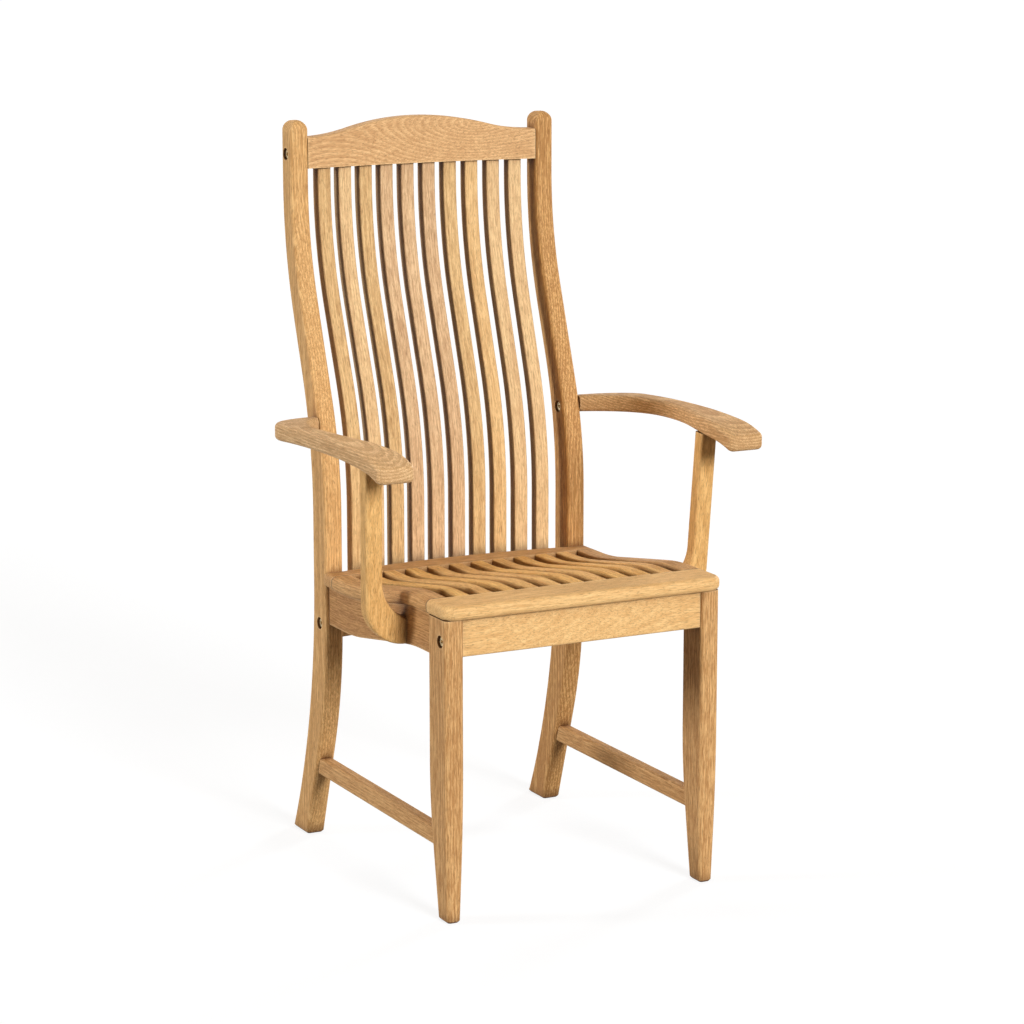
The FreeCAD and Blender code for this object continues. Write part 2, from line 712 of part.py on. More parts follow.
def make_front_leg():
    """The front leg, tapered on all four sides of its foot, most of all at the rear."""
    rear = (leg_rear, s.taper_start)
    front = (leg_front, s.taper_start)
    outline = [rear]
    outline += kick(rear, (0, -1), (-1, 0), s.taper_start, leg_rear - front_foot_rear, taper_angle)
    outline.append((front_foot_front, NIL))
    outline += kick_back(front, (0, -1), (1, 0), s.taper_start, s.foot_taper, side_taper_angle)
    outline += [(leg_front, seat_front_under), (leg_rear, seat_front_under)]
    body = new_body("front_leg_blank")
    pad(body, "YZ_Plane", [outline], s.leg_thick + s.overrun * 2)
    pocket(body, "XZ_Plane", [leg_side_waste(-1), leg_side_waste(1)], s.nose_set * 2)
    soften(body, s.leg_round, lambda edge: not level(edge))
    bevel(body, s.foot_chamfer, on_floor)
    place(body, -leg_middle, NIL, NIL)
    tools = [apron_tenon("front_leg", leg_rear - s.apron_tenon_length, seat_front_under)]
    tools.append(stretcher_hole("front_leg"))
    tools += bolt_hole("front_apron_bolt", -side_face, apron_bolt_y, apron_bolt_z, 1)
    tools.append(dowel_hole("apron_dowel_hole", apron_bolt_y, apron_bolt_z + s.dowel_offset))
    left = cut("front_leg_left", body, tools)
    return [left, mirrored("front_leg_right", left)]


def rail_end_holes(name, y, z, under):
    """Bolt, barrel nut and dowel holes in both ends of a rail between two legs."""
    bolt_room = s.bolt_radius + s.joint_clear
    bolt_deep = s.nut_reach + s.nut_past + s.joint_clear
    nut_deep = z + half(s.nut_length) + s.joint_clear - under + s.overrun
    dowel_deep = half(s.dowel_length) + s.joint_clear
    tools = []
    for end, heading in (("left", 1), ("right", -1)):
        face = -inner_face * heading
        start = face - s.overrun * heading
        tools.append(cross_rod(f"{name}_{end}_bolt_hole", start, y, z, bolt_room, bolt_deep + s.overrun,
                               heading))
        tools.append(rod(f"{name}_{end}_nut_hole", nut_x * heading, y, under - s.overrun,
                         s.nut_radius + s.joint_clear, nut_deep))
        tools.append(cross_rod(f"{name}_{end}_dowel_hole", start, y, z + s.dowel_offset,
                               s.dowel_radius + s.joint_clear, dowel_deep + s.overrun, heading))
    return tools


def slat_place(number):
    """Foot of a back slat's face in plan, and the angle that it is turned by."""
    x = back_slat_pitch * (number - (BACK_SLATS - 1) / 2)
    flat = root(hollow_radius * hollow_radius - inner_face * inner_face)
    y = slat_face + root(hollow_radius * hollow_radius - x * x) - flat
    return x, y, -arc_sine(x / hollow_radius) * s.slat_turn_share


slat_tenon_width = s.back_slat_width - s.tenon_shoulder * 2
slat_tenon_set = half(s.back_slat_thick - s.tenon_thick)


def slat_holes(rail, lean, low, high):
    """The mortises of all back slats in the crest or the lower back rail."""
    holes = []
    room = s.joint_clear
    for number in range(BACK_SLATS):
        x, y, angle = slat_place(number)
        across = half(slat_tenon_width) * -1 - room
        deep = lean + slat_tenon_set - room
        corner_x = x + across * cosine(angle) - deep * sine(angle)
        corner_y = y + across * sine(angle) + deep * cosine(angle)
        holes.append(box(f"{rail}_mortise_{number}", corner_x, corner_y, low, slat_tenon_width + room * 2,
                         s.tenon_thick + room * 2, high - low, angle))
    return holes


def hollow_rail(name, front, thick, height):
    """A blank between the back legs, hollow in plan."""
    outline = [
        (-inner_face, front, hollow_radius, 1),
        (-inner_face, front + thick),
        (inner_face, front + thick, hollow_radius, -1),
        (inner_face, front),
    ]
    body = new_body(name)
    pad(body, "XY_Plane", [outline], height, "One side")
    return body


def make_crest_rail():
    """The crest rail, hollow in plan, with a bell-shaped top."""
    top = s.crest_end_height + s.crest_bell
    body = hollow_rail("crest_blank", crest_front, s.crest_thick, top)
    above = top + s.overrun
    start = (-inner_face, s.crest_end_height)
    outline = [start]
    outline += swan(start, (1, 0), (0, 1), inner_face, s.crest_bell, 1 - s.bell_share)
    outline += swan((NIL, top), (1, 0), (0, -1), inner_face, s.crest_bell, s.bell_share)
    outline += [(inner_face, above), (-inner_face, above)]
    reach = crest_front + s.back_hollow + s.crest_thick + s.overrun
    pocket(body, "XZ_Plane", [outline], reach * 2)
    soften(body, s.crest_round, bell_edge)
    place(body, NIL, NIL, crest_underside)
    tenon_top = crest_underside + s.tenon_length + s.joint_clear
    tools = slat_holes("crest", slat_lean, crest_underside - s.overrun, tenon_top)
    tools += rail_end_holes("crest", crest_bolt_y, crest_bolt_z, crest_underside)
    return [cut("crest_rail", body, tools)]


def bell_edge(edge):
    """True for the long edges round the top of the crest rail."""
    return edge.BoundBox.XLength > s.crest_thick.value and edge.BoundBox.ZMin > s.crest_round.value


def make_lower_back_rail():
    """The rail below the seat that the back slats stand in."""
    body = hollow_rail("lower_rail_blank", lower_rail_front, s.lower_rail_thick, s.lower_rail_height)
    soften(body, s.slat_round, lambda edge: edge.BoundBox.XLength > s.lower_rail_thick.value)
    place(body, NIL, NIL, lower_rail_underside)
    tenon_low = lower_rail_top - s.tenon_length - s.joint_clear
    tools = slat_holes("lower_rail", NIL, tenon_low, lower_rail_top + s.overrun)
    tools += rail_end_holes("lower_rail", lower_bolt_y, lower_bolt_z, lower_rail_underside)
    return [cut("lower_back_rail", body, tools)]


def make_back_slats():
    """Ten S-shaped slats with a tenon at each end, each turned towards the hollow of the back."""
    thick = s.back_slat_thick
    top_face = slat_lean
    start = (NIL, lower_rail_top)
    outline = [start, (thick, lower_rail_top), (thick, lean_start)]
    outline += ogee((thick, lean_start), (0, 1), (1, 0), lean_run, slat_lean, lean_angle)
    outline += [(top_face + thick, crest_underside), (top_face, crest_underside), (top_face, lean_end)]
    outline += ogee((top_face, lean_end), (0, -1), (-1, 0), lean_run, slat_lean, lean_angle)
    near = slat_tenon_set
    far = slat_tenon_set + s.tenon_thick
    foot = rectangle(near, lower_rail_top - s.tenon_length, far, lower_rail_top + s.overrun)
    head = rectangle(top_face + near, crest_underside - s.overrun, top_face + far,
                     crest_underside + s.tenon_length)
    slats = []
    for number in range(BACK_SLATS):
        body = new_body(f"back_slat_{number + 1:02d}")
        pad(body, "YZ_Plane", [outline], s.back_slat_width)
        soften(body, s.slat_round, lambda edge: flat_across(edge) and not level(edge))
        pad(body, "YZ_Plane", [foot, head], slat_tenon_width)
        x, y, angle = slat_place(number)
        place(body, x, y, NIL, (0, 0, 1), angle)
        body.Label = f"back_slat_{number + 1:02d}"
        slats.append(body)
    return slats


seat_slot = (inner_face * 2 - s.seat_slat_width * SEAT_SLATS) / (SEAT_SLATS + 1)
seat_tenon_width = s.seat_slat_width - s.tenon_shoulder * 2
side_rail_tenon_width = side_rail_width - s.tenon_shoulder * 2
seat_tenon_low = half(s.seat_thick - s.tenon_thick)


def seat_slat_x(number):
    """Middle of a seat slat."""
    return seat_slot - inner_face + half(s.seat_slat_width) + (s.seat_slat_width + seat_slot) * number


def seat_curve(rise):
    """Steps along the seat's profile from back to front, at a height above its underside."""
    start = (seat_curve_rear, seat_rear_under + rise)
    return ogee(start, (-1, 0), (0, 1), seat_curve_run, s.seat_drop, seat_curve_angle)


def seat_curve_back(rise):
    """Steps along the seat's profile from front to back."""
    start = (seat_curve_rear - seat_curve_run, seat_front_under + rise)
    return ogee(start, (1, 0), (0, -1), seat_curve_run, s.seat_drop, seat_curve_angle)


def seat_strip():
    """Side view of a seat slat or side rail between the front and rear rails."""
    outline = [(rear_rail_front, seat_rear_under), (seat_curve_rear, seat_rear_under)]
    outline += seat_curve(NIL)
    outline.append((front_rail_rear, seat_front_under))
    outline.append((front_rail_rear, s.seat_front_height))
    outline.append((seat_curve_rear - seat_curve_run, s.seat_front_height))
    outline += seat_curve_back(s.seat_thick)
    outline.append((rear_rail_front, seat_rear_under + s.seat_thick))
    return outline


def seat_tenons():
    """Side view of the tenons at both ends of a seat slat or side rail."""
    front_low = seat_front_under + seat_tenon_low
    rear_low = seat_rear_under + seat_tenon_low
    front = rectangle(front_rail_rear - s.tenon_length, front_low, front_rail_rear + s.overrun,
                      front_low + s.tenon_thick)
    rear = rectangle(rear_rail_front - s.overrun, rear_low, rear_rail_front + s.tenon_length,
                     rear_low + s.tenon_thick)
    return [front, rear]


def seat_member(name, x, width, tenon_width, outermost=False):
    """A seat slat, or the left side rail with its outside rounded like the nose."""
    body = new_body(name)
    pad(body, "YZ_Plane", [seat_strip()], width)
    if outermost:
        soften(body, s.seat_nose_round, outer_long_edge)
        soften(body, s.slat_round, lambda edge: upper_long_edge(edge) and edge.BoundBox.XMin > 0)
    else:
        soften(body, s.slat_round, upper_long_edge)
    pad(body, "YZ_Plane", seat_tenons(), tenon_width)
    place(body, x, NIL, NIL)
    body.Label = name
    return body


def outer_long_edge(edge):
    """True for the upper and lower edges on the outside of the left side rail."""
    return flat_across(edge) and edge.BoundBox.XMax < 0 and edge.BoundBox.YLength > s.slat_round.value


def upper_long_edge(edge):
    """True for the edges along the top of a seat slat or side rail."""
    spot = edge.valueAt((edge.FirstParameter + edge.LastParameter) / 2)
    share = min(max((seat_curve_rear.value - spot.y) / seat_curve_run.value, 0), 1)
    middle = seat_rear_under.value + s.seat_drop.value * share + s.seat_thick.value / 2
    return flat_across(edge) and spot.z > middle and edge.BoundBox.YLength > s.slat_round.value


def seat_holes(rail, y, low):
    """Mortises of the seat slats and side rails in the seat's front or rear rail."""
    holes = []
    for number in range(SEAT_SLATS):
        x = seat_slat_x(number) - half(seat_tenon_width)
        holes.append(tenon_hole(f"{rail}_mortise_{number}", x, y, low, seat_tenon_width, s.tenon_length,
                                s.tenon_thick))
    for end, x in (("left", -side_rail_middle), ("right", side_rail_middle)):
        holes.append(tenon_hole(f"{rail}_{end}_mortise", x - half(side_rail_tenon_width), y, low,
                                side_rail_tenon_width, s.tenon_length, s.tenon_thick))
    return holes


def make_seat_members():
    """The seat's side rails and ten slats, all with the same sagging profile."""
    blank = seat_member("seat_side_rail_blank", -side_rail_middle, side_rail_width, side_rail_tenon_width,
                        True)
    pilot = seat_pilot("side_rail", -side_apron_middle, seat_screw_rear, seat_rear_under)
    left = cut("seat_side_rail_left", blank, [pilot])
    members = [left, mirrored("seat_side_rail_right", left)]
    for number in range(SEAT_SLATS):
        name = f"seat_slat_{number + 1:02d}"
        members.append(seat_member(name, seat_slat_x(number), s.seat_slat_width, seat_tenon_width))
    return members


def make_seat_front_rail():
    """The seat's front rail, with rounded corners and a round nose."""
    corner = s.seat_corner_round
    outline = [
        (-seat_side, front_rail_rear),
        (-seat_side, nose + corner),
        (corner - seat_side, nose, corner, 1),
        (seat_side - corner, nose),
        (seat_side, nose + corner, corner, 1),
        (seat_side, front_rail_rear),
    ]
    body = new_body("seat_front_rail_blank")
    pad(body, "XY_Plane", [outline], s.seat_thick, "One side")
    soften(body, s.seat_nose_round, lambda edge: level(edge) and not at_depth(edge, front_rail_rear))
    place(body, NIL, NIL, seat_front_under)
    tools = seat_holes("front_rail", front_rail_rear - s.tenon_length, seat_front_under + seat_tenon_low)
    for end, x in (("left", -s.seat_screw_spread), ("right", s.seat_screw_spread)):
        tools.append(seat_pilot(f"front_rail_{end}", x, apron_bolt_y, seat_front_under))
    return [cut("seat_front_rail", body, tools)]


def at_depth(edge, depth):
    """True for an edge that lies at one place front to back."""
    return slight(edge.BoundBox.YLength) and slight(edge.BoundBox.YMin - depth.value)


def make_seat_rear_rail():
    """The seat's rear rail, which butts against the back legs and bows back between them."""
    bow_radius = run_radius(inner_face, s.seat_bow)
    outline = [
        (-seat_side, rear_rail_front),
        (seat_side, rear_rail_front),
        (seat_side, post_front),
        (inner_face, post_front),
        (-inner_face, post_front, bow_radius, 1),
        (-seat_side, post_front),
    ]
    body = new_body("seat_rear_rail_blank")
    pad(body, "XY_Plane", [outline], s.seat_thick, "One side")
    soften(body, s.seat_nose_round, lambda edge: flat_across(edge) and level(edge))
    place(body, NIL, NIL, seat_rear_under)
    tools = seat_holes("rear_rail", rear_rail_front, seat_rear_under + seat_tenon_low)
    return [cut("seat_rear_rail", body, tools)]


def make_front_apron():
    """The apron between the front legs, under the nose of the seat."""
    high = front_apron_under + s.front_apron_height
    outline = rectangle(-inner_face, front_apron_under, inner_face, high)
    body = new_body("front_apron_blank")
    pad(body, "XZ_Plane", [outline], s.front_apron_thick)
    soften(body, s.apron_round, lambda edge: level(edge) and lower_long_edge(edge))
    place(body, NIL, front_apron_front + half(s.front_apron_thick), NIL)
    tools = rail_end_holes("front_apron", apron_bolt_y, apron_bolt_z, front_apron_under)
    for end, x in (("left", -s.seat_screw_spread), ("right", s.seat_screw_spread)):
        tools += seat_screw_hole(f"front_apron_{end}", x, apron_bolt_y, front_apron_under, seat_front_under)
    return [cut("front_apron", body, tools)]


def lower_long_edge(edge):
    return edge.BoundBox.XLength > s.leg_thick.value and edge.BoundBox.ZMax < seat_rear_under.value


def seat_screw_hole(name, x, y, under, seat_under):
    """Deep counterbore and clearance hole up through an apron for a seat screw."""
    head_top = seat_under + s.seat_screw_hold - s.seat_screw_length + s.screw_head_length
    wide = rod(f"{name}_screw_bore", x, y, under - s.overrun, s.screw_head_radius + s.joint_clear,
               head_top - under + s.overrun)
    narrow = rod(f"{name}_screw_hole", x, y, under, s.screw_radius + s.joint_clear,
                 seat_under - under + s.overrun)
    return [wide, narrow]


def seat_pilot(name, x, y, seat_under):
    """Blind hole in the underside of the seat for a seat screw."""
    return rod(f"{name}_pilot", x, y, seat_under - s.overrun, s.screw_radius + s.joint_clear,
               s.seat_screw_hold + s.joint_clear + s.overrun)


def make_side_apron():
    """The side apron, which follows the seat's profile and is tenoned into the legs."""
    low = NIL - s.side_apron_height
    top = NIL - s.bed_clear
    outline = [(post_front, seat_rear_under + low), (post_front, seat_rear_under + top)]
    outline.append((seat_curve_rear, seat_rear_under + top))
    outline += seat_curve(top)
    outline.append((leg_rear, seat_front_under + top))
    outline.append((leg_rear, seat_front_under + low))
    outline.append((seat_curve_rear - seat_curve_run, seat_front_under + low))
    outline += seat_curve_back(low)
    tenon_low = s.tenon_shoulder - s.side_apron_height
    tenon_high = s.tenon_shoulder * -2
    front = rectangle(leg_rear - s.apron_tenon_length, seat_front_under + tenon_low, leg_rear + s.overrun,
                      seat_front_under + tenon_high)
    rear = rectangle(post_front - s.overrun, seat_rear_under + tenon_low, post_front + s.apron_tenon_length,
                     seat_rear_under + tenon_high)
    body = new_body("side_apron_blank")
    pad(body, "YZ_Plane", [outline], s.side_apron_thick)
    pad(body, "YZ_Plane", [front, rear], s.tenon_thick)
    place(body, -side_apron_middle, NIL, NIL)
    tools = seat_screw_hole("side_apron", -side_apron_middle, seat_screw_rear,
                            seat_rear_under - s.side_apron_height, seat_rear_under)
    tools += [support_screw_hole(f"apron_screw_hole_{number}", number) for number in range(SUPPORT_SCREWS)]
    left = cut("side_apron_left", body, tools)
    return [left, mirrored("side_apron_right", left)]


def make_side_stretcher():
    """The side stretcher near the floor, cut to the slope of the legs at both ends."""
    low_front, low_rear = stretcher_ends(s.stretcher_underside)
    high_front, high_rear = stretcher_ends(stretcher_top)
    front, rear = stretcher_ends(stretcher_middle)
    outline = [
        (low_front, s.stretcher_underside),
        (low_rear, s.stretcher_underside),
        (high_rear, stretcher_top),
        (high_front, stretcher_top),
    ]
    tenon = rectangle(front - s.tenon_length, stretcher_tenon_low, rear + s.tenon_length,
                      stretcher_tenon_high)
    body = new_body("side_stretcher_left")
    pad(body, "YZ_Plane", [outline], s.stretcher_thick)
    soften(body, s.stretcher_round, lambda edge: flat_across(edge) and level(edge))
    pad(body, "YZ_Plane", [tenon], s.tenon_thick)
    place(body, -leg_middle, NIL, NIL)
    body.Label = "side_stretcher_left"
    return [body, mirrored("side_stretcher_right", body)]


def arm_plan():
    """Plan of the left arm from its root, round the nose and back along the outer edge."""
    waist = (-side_face - s.arm_waist_reach, arm_root_front - arm_sickle_run)
    sickle = run_radius(arm_sickle_run, s.arm_waist_reach)
    outer = -side_face - s.arm_reach
    nose_inner = outer + s.arm_nose_width
    flare = nose_inner - waist[0]
    corner = s.arm_nose_corner
    outline = [(-side_face, arm_root_rear), (-side_face, arm_root_front)]
    outline.append((*waist, sickle, 1))
    outline += swan(waist, (0, -1), (1, 0), arm_flare_run, flare, s.flare_bend_share)
    outline.append((nose_inner, arm_nose + corner))
    outline.append((nose_inner - corner, arm_nose, corner, -1))
    outline.append((outer + corner, arm_nose))
    outline.append((outer, arm_nose + corner, corner, -1))
    outline.append((outer, arm_root_rear - arm_elbow))
    outline.append((outer + arm_elbow, arm_root_rear, arm_elbow, -1))
    return outline


droop_chord_run = s.arm_peak_set - s.arm_front_run
droop_chord_drop = s.arm_nose_drop - s.arm_front_drop
arm_front_radius = run_radius(s.arm_front_run, s.arm_front_drop)


def droop_radius():
    """Radius of the arm's drooping nose, which goes on from the gentler curve behind it."""
    first_slope = arc_sine(s.arm_front_run / arm_front_radius)
    turned = arc_tangent(droop_chord_drop / droop_chord_run) - first_slope
    chord = root(droop_chord_run * droop_chord_run + droop_chord_drop * droop_chord_drop)
    return chord / (sine(turned) * 2)


def arm_profile(height):
    """Corners along the arm's side view from root to nose, for its top or its underside."""
    rear_run = arm_root_rear - arm_peak
    return [
        (arm_root_rear, height - s.arm_root_drop),
        (arm_peak, height, run_radius(rear_run, s.arm_root_drop), 1),
        (arm_peak - s.arm_front_run, height - s.arm_front_drop, arm_front_radius, 1),
        (arm_nose, height - s.arm_nose_drop, droop_radius(), 1),
    ]


def make_arm():
    """The arm: sickle-shaped in plan, gently arched along its length."""
    body = new_body("arm_blank")
    deep = s.arm_thick * 2 + s.arm_nose_drop * 2
    pad(body, "XY_Plane", [arm_plan()], deep, "One side")
    floor = arm_top - s.arm_thick - s.arm_nose_drop * 2
    ceiling = floor + deep
    above = arm_profile(arm_top - floor)
    above += [(arm_nose, ceiling + s.overrun - floor), (arm_root_rear, ceiling + s.overrun - floor)]
    below = arm_profile(arm_top - s.arm_thick - floor)
    below += [(arm_nose, -s.overrun), (arm_root_rear, -s.overrun)]
    pocket(body, "YZ_Plane", [above, below], s.front_width * 2)
    soften(body, s.arm_round, arm_edge)
    place(body, NIL, NIL, floor)
    tools = [arm_insert_hole(), arm_dowel("arm_dowel_hole", s.joint_clear)]
    left = cut("arm_left", body, tools)
    return [left, mirrored("arm_right", left)]


def arm_edge(edge):
    """True for the edges round the arm, but not those of its root."""
    upright = edge.BoundBox.ZLength > s.arm_thick.value / 2 and edge.BoundBox.YLength < s.arm_round.value
    at_root = flat_across(edge) and slight(edge.BoundBox.XMax + side_face.value)
    return not upright and not at_root


def arm_insert_hole():
    return cross_rod("arm_insert_hole", -side_face + s.overrun, arm_bolt_y, arm_bolt_height,
                     s.insert_radius + s.joint_clear, s.insert_length + s.joint_clear + s.overrun, -1)


# The arm support is drawn in a frame of its own at its lowest point on the apron, and leans as a whole.
support_rise = arm_top - s.arm_thick - support_foot_height
support_top_y = support_middle - support_rise * tangent(s.support_lean_angle)
support_ahead = arm_peak - support_top_y
support_drop = support_ahead * support_ahead / (arm_front_radius * 2)
support_height = (support_rise - support_drop) / cosine(s.support_lean_angle) - s.bed_clear
support_slope = SQUARE - s.support_splay_angle
support_straight = support_height - s.support_inner_rise
support_inner_top = s.support_inner_reach + support_straight * tangent(s.support_splay_angle)
bend_x = s.support_bend * sine(support_slope)
bend_z = s.support_bend * (1 - cosine(support_slope))
support_outer_top = bend_x + (support_height - bend_z) * tangent(s.support_splay_angle)


def support_spot(along, out):
    """Place of a point in the left support's frame: height along it and reach out from the apron."""
    y = support_middle - along * sine(s.support_lean_angle)
    z = support_foot_height + along * cosine(s.support_lean_angle)
    return -side_apron_outer - out, y, z


def arm_dowel(name, room):
    """The dowel between a support and the arm, or the hole for it with room around it."""
    start = support_height - half(s.dowel_length) - room
    spot = support_spot(start, half(support_inner_top + support_outer_top))
    return rod(name, *spot, s.dowel_radius + room, s.dowel_length + room * 2, (1, 0, 0), s.support_lean_angle)


def make_arm_support():
    """The arm support, bent at its foot to reach in to the side apron."""
    inner = s.support_inner_bend
    centre_x = s.support_inner_reach - inner * sine(support_slope)
    centre_z = s.support_inner_rise + inner * cosine(support_slope)
    foot_top = centre_z - root(inner * inner - centre_x * centre_x)
    outline = [
        (NIL, NIL, s.support_bend, 1),
        (NIL, foot_top),
        (-s.support_inner_reach, s.support_inner_rise, inner, -1),
        (-support_inner_top, support_height),
        (-support_outer_top, support_height),
        (-bend_x, bend_z),
    ]
    body = new_body("arm_support_blank")
    pad(body, "XZ_Plane", [outline], s.support_deep)
    soften(body, s.support_round, support_edge)
    place(body, -side_apron_outer, support_middle, support_foot_height, (1, 0, 0), s.support_lean_angle)
    tools = [arm_dowel("support_dowel_hole", s.joint_clear)]
    tools += [support_screw_hole(f"support_screw_hole_{number}", number) for number in range(SUPPORT_SCREWS)]
    left = cut("arm_support_left", body, tools)
    return [left, mirrored("arm_support_right", left)]


def support_edge(edge):
    """True for the long edges of the arm support, but not those of its two ends."""
    return slight(edge.BoundBox.YLength) and not flat_across(edge) and not level(edge)


def support_screw_spot(number):
    rise = s.support_screw_rise + s.support_screw_gap * number
    return support_spot(rise, -s.side_apron_thick)


def support_screw_hole(name, number):
    x, y, z = support_screw_spot(number)
    return cross_rod(name, x + s.overrun, y, z, s.screw_radius + s.joint_clear,
                     s.support_screw_length + s.joint_clear + s.overrun, -1)


def bolt(name, face_x, y, z, heading, length):
    """A socket-head bolt in its counterbore, from a leg's face towards a heading."""
    head_x = face_x + bolt_seat * heading
    seat_x = face_x + s.counterbore_depth * heading
    head = cross_rod(f"{name}_head", head_x, y, z, s.bolt_head_radius, s.bolt_head_length, heading)
    shank = cross_rod(f"{name}_shank", seat_x, y, z, s.bolt_radius, length, heading)
    socket = doc.addObject("Part::Prism", f"{name}_socket")
    socket.Polygon = 6
    socket.setExpression("Circumradius", s.bolt_socket_radius.text)
    socket.setExpression("Height", s.bolt_socket_depth.text)
    place(socket, head_x, y, z, (0, 1, 0), SQUARE * heading)
    return cut(name, joined(f"{name}_solid", [head, shank]), [socket])


def make_bolts():
    """Four pairs of bolts: crest rail, lower back rail, front apron and arms."""
    groups = []
    for name, y, z in rail_joints:
        left = bolt(f"{name}_bolt_left", -side_face, y, z, 1, rail_bolt_length)
        groups.append(both_sides(f"{name}_bolts", [left]))
    left = bolt("arm_bolt_left", -inner_face, arm_bolt_y, arm_bolt_height, -1, arm_bolt_length)
    groups.append(both_sides("arm_bolts", [left]))
    return groups


def make_barrel_nuts():
    """The barrel nuts in the rails, each with a cross hole for its bolt."""
    nuts = []
    for name, y, z in rail_joints:
        barrel = rod(f"{name}_barrel", nut_x, y, z - half(s.nut_length), s.nut_radius, s.nut_length)
        hole = cross_rod(f"{name}_nut_thread", nut_x - s.nut_radius - s.overrun, y, z,
                         s.bolt_radius + s.joint_clear, s.nut_radius * 2 + s.overrun * 2)
        nuts.append(cut(f"{name}_nut", barrel, [hole]))
    return [both_sides("barrel_nuts", nuts)]


def make_arm_inserts():
    """The threaded inserts in the arms' roots."""
    sleeve = cross_rod("insert_sleeve", -side_face, arm_bolt_y, arm_bolt_height, s.insert_radius,
                       s.insert_length, -1)
    bore = cross_rod("insert_bore", -side_face + s.overrun, arm_bolt_y, arm_bolt_height,
                     s.bolt_radius + s.joint_clear, s.insert_length + s.overrun * 2, -1)
    return [both_sides("arm_inserts", [cut("arm_insert", sleeve, [bore])])]


def make_dowels():
    """The dowels of the bolted rails, and those between the supports and the arms."""
    rails = []
    for name, y, z in rail_joints:
        start = -inner_face - half(s.dowel_length)
        rails.append(cross_rod(f"{name}_dowel", start, y, z + s.dowel_offset, s.dowel_radius, s.dowel_length))
    return [both_sides("rail_dowels", rails), both_sides("arm_dowels", [arm_dowel("arm_dowel", NIL)])]


def screw(name, x, y, z, length, axis, angle):
    """A wood screw with a round flat head, which starts at its head."""
    head = rod(f"{name}_head", x, y, z, s.screw_head_radius, s.screw_head_length, axis, angle)
    shank = rod(f"{name}_shank", x, y, z, s.screw_radius, length, axis, angle)
    return joined(name, [head, shank])


def make_screws():
    """The screws of the arm supports, and those that hold the seat down."""
    supports = []
    for number in range(SUPPORT_SCREWS):
        x, y, z = support_screw_spot(number)
        supports.append(screw(f"support_screw_{number}", x + s.screw_head_length, y, z,
                              s.support_screw_length + s.screw_head_length, (0, 1, 0), -SQUARE))
    front_z = seat_front_under + s.seat_screw_hold - s.seat_screw_length
    front = screw("seat_screw_front", -s.seat_screw_spread, apron_bolt_y, front_z, s.seat_screw_length,
                  (0, 0, 1), NIL)
    rear_z = seat_rear_under + s.seat_screw_hold - s.seat_screw_length
    rear = screw("seat_screw_rear", -side_apron_middle, seat_screw_rear, rear_z, s.seat_screw_length,
                 (0, 0, 1), NIL)
    return [both_sides("support_screws", supports), both_sides("seat_screws", [front, rear])]


pieces = []
for make in (make_back_leg, make_front_leg, make_crest_rail, make_lower_back_rail, make_back_slats,
             make_seat_front_rail, make_seat_rear_rail, make_seat_members, make_front_apron,
             make_side_apron, make_side_stretcher, make_arm, make_arm_support, make_bolts,
             make_barrel_nuts, make_arm_inserts, make_dowels, make_screws):
    pieces += make()
doc.recompute()

for item in doc.Objects:
    if "Invalid" in item.State or "Error" in item.State:
        raise RuntimeError(f"{item.Name} failed: {item.State}")
for piece in pieces:
    if piece.Shape.isNull() or not piece.Shape.isValid():
        raise RuntimeError(f"{piece.Label} has no valid shape")

os.makedirs("parts", exist_ok=True)
for piece in pieces:
    piece.Shape.exportStep(f"parts/{piece.Label}.step")
print(f"{len(pieces)} pieces written")
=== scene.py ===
import math

import bpy
from mathutils import Euler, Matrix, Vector


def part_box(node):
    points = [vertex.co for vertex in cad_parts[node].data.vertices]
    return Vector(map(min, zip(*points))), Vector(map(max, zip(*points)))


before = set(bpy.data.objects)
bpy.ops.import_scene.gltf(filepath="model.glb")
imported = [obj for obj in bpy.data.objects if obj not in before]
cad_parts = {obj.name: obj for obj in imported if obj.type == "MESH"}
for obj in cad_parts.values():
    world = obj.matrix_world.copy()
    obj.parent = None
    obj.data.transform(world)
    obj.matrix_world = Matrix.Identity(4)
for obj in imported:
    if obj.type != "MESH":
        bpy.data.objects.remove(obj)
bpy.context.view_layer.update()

# Timber tones in display values: the early wood, then the late wood of each ring.
TONES = {
    "honey": ((234, 187, 127), (188, 137, 83)),
    "straw": ((252, 210, 146), (229, 180, 117)),
    "wheat": ((243, 200, 145), (208, 161, 111)),
    "cream": ((246, 211, 157), (209, 168, 121)),
    "amber": ((246, 200, 136), (206, 156, 97)),
    "flax": ((246, 207, 148), (209, 164, 108)),
    "rose": ((239, 203, 157), (198, 157, 116)),
    "dusk": ((252, 214, 161), (209, 164, 113)),
    "clay": ((245, 204, 149), (198, 152, 101)),
    "nut": ((218, 167, 108), (168, 118, 69)),
    "toffee": ((234, 185, 120), (182, 131, 76)),
    "corn": ((246, 199, 129), (210, 159, 93)),
    "gold": ((255, 209, 128), (226, 166, 91)),
    "apricot": ((253, 206, 132), (218, 162, 96)),
    "biscuit": ((239, 202, 145), (198, 156, 104)),
}
PORE_TONE = (112, 72, 38)
# Dark tone of the seams, and of the painted shade where other wood stands close, as in slots, between
# slats and in niches.
SEAM_AND_SHADE_TONE = (90, 50, 18)
# Pale tone of the arrises, which are partly worn and partly a painted highlight.
WEAR_AND_HIGHLIGHT_TONE = (252, 216, 160)
STEEL_TONE = (232, 210, 164)
STEEL_STAIN = (158, 130, 92)
WHITE = (1.0, 1.0, 1.0, 1.0)

# How a piece is turned so that the grain always runs along its board's own z.
GRAIN_TURNS = {
    "across": (0.0, math.radians(-90), 0.0),
    "back": (math.radians(90), 0.0, 0.0),
    "up": (0.0, 0.0, 0.0),
}
GRAIN_AXES = {"across": 0, "back": 1, "up": 2}

